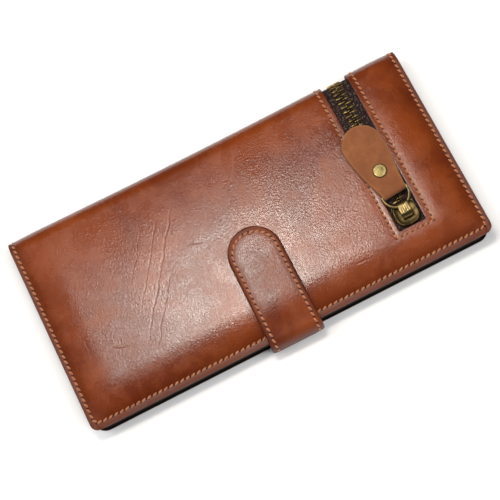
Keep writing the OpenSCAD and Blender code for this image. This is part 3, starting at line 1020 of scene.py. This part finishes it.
def shield(scale_in, n=48):
    """The slider's outline, pulled in by scale_in: round at the open end, straighter at the closed one."""
    half = SLIDER_W / 2 - 0.45 - scale_in
    length = SLIDER_L / 2 - scale_in
    pts = []
    for k in range(n):
        w = 2 * pi * k / n
        c, s = cos(w), sin(w)
        power = 2.9 if s < 0 else 4.5
        x = copysign(abs(c) ** (2 / power), c) * half * (1 - 0.08 * max(s, 0))
        y = copysign(abs(s) ** (2 / power), s) * length
        pts.append((ZIP_X + x, SLIDER_Y + y))
    return pts


def shield_plate(name, z0, levels, material):
    """A plate of rings, each pulled in from the outline, at a height over z0."""
    return loft(name, [[(x, y, z0 + z) for x, y in shield(pulled)] for pulled, z in levels], material)


# The top plate takes the darker brass: painted shade under the tab and crown.
plate = shield_plate("slider_top_plate", top, [
    (1.6, -1.0), (0.7, -1.0), (0.25, -0.95), (0.0, -0.7), (0.0, -0.35), (0.18, -0.08), (0.45, 0.0),
    (0.75, -0.02), (1.0, -0.16), (2.4, -0.2), (4.0, -0.16)], PLATE_BRASS)
under = shield_plate("slider_low_plate", low, [
    (3.0, 0.0), (0.3, 0.0), (-0.1, 0.1), (-0.25, 0.35), (-0.1, 0.75), (0.4, 0.85), (3.0, 0.85)], BRASS)
walls = Soup()
WALL = 0.42
for side in (-1, 1):
    for z0, z1 in ((TAPE_Z + 0.5, top - 0.5), (low + 0.5, TAPE_Z - 0.5)):
        pts = []
        for k in range(15):
            y = SLIDER_Y - 1.2 + (SLIDER_L / 2 + 0.9) * k / 14
            x = ZIP_X + side * (SLIDER_W / 2 - 0.75 - 0.5 * smoothstep((y - SLIDER_Y) / 5))
            pts.append((x, y))
        ring = [(x - WALL, y) for x, y in pts] + [(x + WALL, y) for x, y in pts[::-1]]
        walls.add([(x, y, z) for z in (z0, z1) for x, y in ring], ring_faces(2, len(ring)))
wedge = [(-0.95, -4.3), (0.95, -4.3), (0.45, -2.3), (-0.45, -2.3)]
for levels in ((TAPE_Z + 1.1, top - 0.6), (low + 0.5, TAPE_Z - 1.1)):
    walls.add([(ZIP_X + x, SLIDER_Y + y, z) for z in levels for x, y in wedge], ring_faces(2, 4))
walls = walls.obj("slider_walls", BRASS)
bake(bevel(walls, 0.12, 35))

lo, hi = cad("slider_crown")
CROWN_W, CROWN_Y0, CROWN_Y1, CROWN_TOP = hi.x - lo.x, lo.y, hi.y, hi.z
crown_path = fillet([(CROWN_Y1 - 0.38, top - 0.55), (CROWN_Y1 - 0.38, CROWN_TOP - 0.4),
                     (CROWN_Y0 + 1.2, CROWN_TOP - 0.4), (CROWN_Y0 + 0.2, top - 0.5)], [1.7, 2.2], 0.3)
section = []
for k in range(25):
    u = -1 + 2 * k / 24
    ribs = 0.13 * cos(u * pi * 2.9) ** 2
    section.append((u * CROWN_W / 2, 0.4 * (1 - 0.35 * abs(u) ** 4) - 0.13 + ribs))
section += [(u * CROWN_W / 2, -0.38) for u in (0.96, 0.5, 0, -0.5, -0.96)]
rings = []
for i, (p, d) in enumerate(zip(crown_path, directions(crown_path))):
    t = i / (len(crown_path) - 1)
    wide = 1.2 + 0.16 * sin(pi * t) - 0.18 * smoothstep((t - 0.75) / 0.25)
    n = Vector((d.y, -d.x))
    rings.append([(ZIP_X + x * wide, p.x + n.x * v, p.y + n.y * v) for x, v in section])
crown = loft("slider_crown_band", rings, BRASS)
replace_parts(plate, "slider_body")
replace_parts(crown, "slider_crown")
for piece in (plate, under, walls, crown):
    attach(piece, "slider")

# ---- ring, tab and rivet

joints = {j["name"]: j for j in frame["joints"]}
ring_at = Vector(joints["ring_swing"]["pos_m"]) / MM
bar_at = Vector(joints["tab_swing"]["pos_m"]) / MM
LEAN = atan2(joints["ring_swing"]["axis"][1], joints["ring_swing"]["axis"][0])
WIRE = 0.65
RING_R = 6.15
BAR = (bar_at - ring_at).length


def leaning(origin, x, y, z):
    c, s = cos(LEAN), sin(LEAN)
    return (origin.x + x * c - y * s, origin.y + x * s + y * c, origin.z + z)


# The ring is half a circle from its middle on the slider to the ends of its straight bar.
turn = 0.7
side_x, side_y = RING_R - turn, BAR - turn
pts = [(RING_R * sin(radians(w)), RING_R - RING_R * cos(radians(w))) for w in range(-90, 91, 5)]
pts += [(RING_R, side_y)] + arc(side_x, side_y, turn, (25, 50, 70, 90))
pts += [(side_x - (2 * RING_R - 2 * turn) * k / 12, BAR) for k in range(1, 12)]
pts += arc(-RING_R + turn, side_y, turn, (90, 110, 130, 155)) + [(-RING_R, side_y)]
verts, faces = closed_wire([leaning(ring_at, x, y, 0) for x, y in pts], WIRE, 14)
ring = outward(mesh("pull_ring_wire", verts, faces, RIVET_BRASS))
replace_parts(ring, "pull_ring")
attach(ring, "ring")

lo, hi = cad("pull_tab")
TAB_T = 1.2
TAB_LOW = lo.z - bar_at.z
TAB_R = -TAB_LOW - TAB_T / 2
TAB_LEN = (hi.y - bar_at.y) / cos(LEAN) - 0.35
TAB_HALF, FOLD_HALF = 9.5, 5.9
tab_mid_z = TAB_LOW + TAB_T


def tab_half_width(d):
    """Half of the tab's width at d from the bar."""
    end = TAB_LEN - TAB_HALF
    if d <= 0.8:
        return FOLD_HALF
    if d < end:
        u = (d - 0.8) / (end - 0.8)
        return FOLD_HALF + 0.1 + (TAB_HALF - FOLD_HALF - 0.1) * sin(pi / 2 * u) ** 1.15
    return sqrt(max(0.0, TAB_HALF ** 2 - (d - end) ** 2))


def tab_layer(name, upper):
    """Half of the folded strip: from the middle of its fold to its round end."""
    up = 1 if upper else -1
    angles = [radians(90 * k / 8) for k in range(9)]
    stations = [(-TAB_R * cos(w), TAB_R * sin(w) * up) for w in angles]
    drop = TAB_R - (tab_mid_z + TAB_T / 2) if upper else 0.0
    flat = [0.6] + [1.5 + k for k in range(8)] + list(range(10, 25, 2))
    end = TAB_LEN - TAB_HALF
    flat = [d for d in flat if d < end] + [end + TAB_HALF * sin(pi / 2 * k / 16) for k in range(17)]
    stations += [(d, up * TAB_R - drop * smoothstep((d - 0.5) / 6.5)) for d in flat]
    rings = []
    across = spread(15, 0.8)
    for i, (y, z) in enumerate(stations):
        a, b = stations[max(i - 1, 0)], stations[min(i + 1, len(stations) - 1)]
        t = Vector((b[0] - a[0], b[1] - a[1])).normalized()
        n = Vector((-t.y, t.x)) * up
        if i == 0:
            n = Vector((-1, 0))
        half = max(tab_half_width(y), 0.3)
        ring = []
        for top_side in (True, False):
            for u in across:
                near = min(half * (1 - abs(u)), TAB_LEN - y)
                v = TAB_T / 2 * (0.55 + 0.45 * smoothstep(near / 0.7)) if top_side else 0.02 - TAB_T / 2
                ring.append(leaning(bar_at, half * (u if top_side else -u), y + n.x * v, z + n.y * v))
        rings.append(ring)
    obj = loft(name, rings, PULL_LEATHER)

    def edge(x, y, z):
        c, s = cos(LEAN), sin(LEAN)
        dx, dy = x - bar_at.x, y - bar_at.y
        u, v = dx * c + dy * s, -dx * s + dy * c
        return TAB_HALF - hypot(u, v - end) if v > end else tab_half_width(v) - abs(u)

    return paint(obj, edge)


tab_top, tab_under = tab_layer("tab_top_layer", True), tab_layer("tab_under_layer", False)
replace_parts(tab_top, "pull_tab")
for piece in (tab_top, tab_under):
    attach(piece, "tab")

rivet_at = (cad("tab_rivet_cap")[0] + cad("tab_rivet_cap")[1]) / 2
tab_top_z = bar_at.z + tab_mid_z + TAB_T


def lathe(name, z0, profile, n=40):
    """A round shape about the rivet's axis, from its profile of radius and height over z0."""
    angles = [2 * pi * k / n for k in range(n)]
    return loft(name, [[(rivet_at.x + r * cos(w), rivet_at.y + r * sin(w), z0 + z) for w in angles]
                       for r, z in profile], RIVET_BRASS)


cap = lathe("rivet_cap", tab_top_z, [
    (1.0, -0.15), (2.9, -0.15), (3.2, -0.02), (3.3, 0.2), (3.22, 0.44), (2.98, 0.6), (2.6, 0.66),
    (2.2, 0.62), (1.5, 0.68), (0.8, 0.72), (0.25, 0.73)])
foot = lathe("rivet_foot", bar_at.z + TAB_LOW, [
    (1.0, 0.2), (2.3, 0.15), (2.55, 0.02), (2.4, -0.12), (1.6, -0.18), (0.4, -0.18)])
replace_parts(cap, "tab_rivet_cap")
for piece in (cap, foot):
    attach(piece, "tab")

# ---- inside


def panel(node, up, notches=(), hole=(), cloth=False):
    """A thin panel with a turned and creased top edge, of leather or cloth. up says which way it looks,
    notches are the middles of its thumb cuts, and hole is a window from x to x and from y to y."""
    lo, hi = cad(node)
    x0, x1, y0, top = lo.x, hi.x, lo.y, hi.y
    near, parts = (0.5, 1.2, 2.2, 3.2), (-1, -0.75, -0.5, -0.25, 0, 0.25, 0.5, 0.75, 1)
    extra = [x0 + d for d in near] + [x1 - d for d in near] + [c + NOTCH * u for c in notches for u in parts]
    xs = lines(x0, x1, 3.0, extra + list(hole[:2]))
    extra = [y0 + d for d in (0.6, 1.6, 3)] + [top - d for d in (3.0, 2.4, 2.0, 1.6, 1.0, 0.4)]
    ys = lines(y0, top, 5.0, extra + list(hole[2:]))
    verts = []
    for y in ys:
        for x in xs:
            cut = 0.0
            for c in notches:
                cut = max(cut, NOTCH_DEEP * (1 - smoothstep(abs(x - c) / NOTCH)))
            share = max(0.0, (y - (top - 8)) / 8)
            z = -0.1 * exp(-((top - TURNED - y) / 0.35) ** 2) + 0.05 * noise.noise((x / 20, y / 14, lo.z))
            s, side, xx = y - y0, min(x - x0, x1 - x), x
            if s < PANEL_CORNER and side < 6 and abs(x) > 60:
                pull = PANEL_CORNER - sqrt(PANEL_CORNER ** 2 - (PANEL_CORNER - s) ** 2)
                xx = x - copysign(pull * (1 - side / 6), x)
            verts.append((xx, y - cut * share, (hi.z + z) if up else (lo.z - z)))

    def keep(i, j):
        mx, my = (xs[j] + xs[j + 1]) / 2, (ys[i] + ys[i + 1]) / 2
        return not hole or not (hole[0] < mx < hole[1] and hole[2] < my < hole[3])

    name = f"{node}_{'cloth' if cloth else 'sheet'}"
    faces = grid_faces(len(ys), len(xs), not up, keep)
    obj = drop_loose(mesh(name, verts, faces, LINING if cloth else INNER_LEATHER))
    bake(bevel(thicken(obj, hi.z - lo.z - 0.12, -1), 0.12))
    paint(obj, lambda x, y, z: min(x - x0, x1 - x, y - y0, top - y))
    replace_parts(obj, node)
    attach(obj, f"{SIDE[not up]}_half")
    return obj


def slot_seams(side, count, gap):
    """The stitches along a row of card slots, which is gap from the middle."""
    up = side == "back"
    stack = [cad(f"{side}_card_slot_{i}") for i in range(count, 0, -1)] + [cad(f"{side}_inner_panel")]
    out, low, top = edge_x - 2, EDGE_Y + 2.8, stack[-2][1].y
    runs = [(x, EDGE_Y + 2.5, x, top) for x in (-out, -gap, gap, out)]
    runs += [(-out, low, -gap, low), (gap, low, out, low)]

    def place(x, y):
        lo, hi = next((box for box in stack if y < box[1].y), stack[-1])
        if x < 0 and not up:
            lo, hi = cad("id_window_frame")
        return Vector((x, y, hi.z - 0.02 if up else lo.z + 0.02)), Vector((0, 0, 1 if up else -1))

    seam = Seam()
    for run in runs:
        seam.run(straight(*run, 4), place, 2.6, lean=0.05, radius=0.22, rise=0.14)
    for piece in seam.pieces(f"{side}_slot_seams", f"{side}_slot_seams_holes", DARK_THREAD):
        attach(piece, f"{side}_half")


edge_x = HALF_L - 1
NOTCH, NOTCH_DEEP = 13, 2.6  # half of a thumb cut's width, and its depth
MARGIN = 13  # the frame round the identity window
PANEL_CORNER, TURNED = 5.5, 2.0  # the corners' radius, and the crease of the turned edge
panel("back_inner_panel", True)
panel("front_inner_panel", False)
for i in range(1, 5):
    panel(f"back_card_slot_{i}", True, (-49, 49))
for i in range(1, 4):
    lo, hi = cad(f"front_card_slot_{i}")
    panel(f"front_card_slot_{i}", False, ((lo.x + hi.x) / 2,))
hole = (-HALF_L + MARGIN, -MARGIN, EDGE_Y + MARGIN, cad("front_inner_panel")[1].y - MARGIN)
panel("id_window_frame", False, hole=hole)
slot_seams("back", 4, 1.1)
slot_seams("front", 3, 3.0)


def lining_strip(name, front):
    """Lining that bridges one inner panel and the middle of the spine."""
    z_low = cad("back_inner_panel")[0].z - 0.25
    z_high = cad("front_inner_panel")[1].z + 0.2
    c = (z_low + z_high) / 2
    r = (z_high - z_low) / 2
    yc = SPINE_Y - 0.5
    pts = [(yc - 8, z_low), (yc - 5, z_low), (yc - 2.5, z_low)]
    pts += [(yc + 1.18 * r * sin(radians(w)), c - r * cos(radians(w))) for w in range(0, 91, 9)]
    if front:
        pts = [(y, 2 * c - z) for y, z in pts]
    xs = lines(-edge_x, edge_x, 6.0)
    verts = [(x, y + 0.12 * noise.noise((x / 9, y / 5, 2.0)), z) for y, z in pts for x in xs]
    obj = thicken(mesh(name, verts, grid_faces(len(pts), len(xs), front), LINING), 0.4, 0)
    bake(obj)
    return bend_at_spine(obj)


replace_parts(lining_strip("spine_lining_back", False), "spine_lining")
lining_strip("spine_lining_front", True)
for node, up, leather_piece in (("back_lining", True, "back_leather"),
                                ("zip_pocket_lining", False, "front_leather")):
    lo, hi = cad(node)
    panel(node, up, cloth=True)

# ---- carried-over CAD nodes

for node, material in (
        ("zip_bottom_stop", BRASS), ("zip_top_stops", BRASS), ("id_window_film", FILM),
        ("keeper_plate", STEEL), ("strap_magnet", MAGNET), ("tab_rivet_post", RIVET_BRASS)):
    data = frame["nodes"][node].data
    data.materials.clear()
    data.materials.append(material)

# ---- floor and light

bpy.ops.mesh.primitive_plane_add(size=6, location=(0, 0, -0.0001))
floor = bpy.context.object
floor.name = "floor"
s = Shader("floor", Specular_IOR_Level=0.0)
tone = s.mix(s.noise(8, 2.0), (0.9, 0.9, 0.9, 1), (0.93, 0.93, 0.93, 1))
floor.data.materials.append(s.finish(tone, 0.9))

world = bpy.data.worlds.new("studio")
scene.world = world
world.use_nodes = True
background = world.node_tree.nodes["Background"].inputs
background[0].default_value = (0.95, 0.97, 1.0, 1)
background[1].default_value = 0.08


def area_light(name, at, target, size, size_y, power, shine=True, tint=(1, 1, 1)):
    data = bpy.data.lights.new(name, "AREA")
    data.shape = "RECTANGLE"
    data.size, data.size_y, data.energy, data.color = size, size_y, power, tint
    obj = bpy.data.objects.new(name, data)
    obj.location = at
    obj.rotation_euler = (Vector(target) - Vector(at)).to_track_quat("-Z", "Y").to_euler()
    obj.visible_glossy = shine
    scene.collection.objects.link(obj)


area_light("softbox", (-0.006, 0.106, 0.62), (-0.007, -0.018, 0.0), 0.165, 0.074, 1.75,
           tint=(1.0, 0.93, 0.85))
area_light("back_fill", (-0.7, 0.4, 1.2), (0, 0, 0), 1.0, 1.0, 12.5, False)
area_light("front_fill", (0.6, -0.5, 1.2), (0, 0, 0), 1.0, 1.0, 12, False)

# ---- camera

camera = bpy.data.objects.new("camera", bpy.data.cameras.new("camera"))
camera.data.sensor_width = 36
camera.data.lens = 93.6
right, up, back = (0.89175, -0.44315, -0.09171), (0.45199, 0.86227, 0.22845), (-0.02216, -0.24517, 0.96923)
turned = Matrix((right, up, back)).transposed().to_4x4()
camera.matrix_world = Matrix.Translation((-0.0142, -0.1495, 0.5773)) @ turned
scene.collection.objects.link(camera)
scene.camera = camera
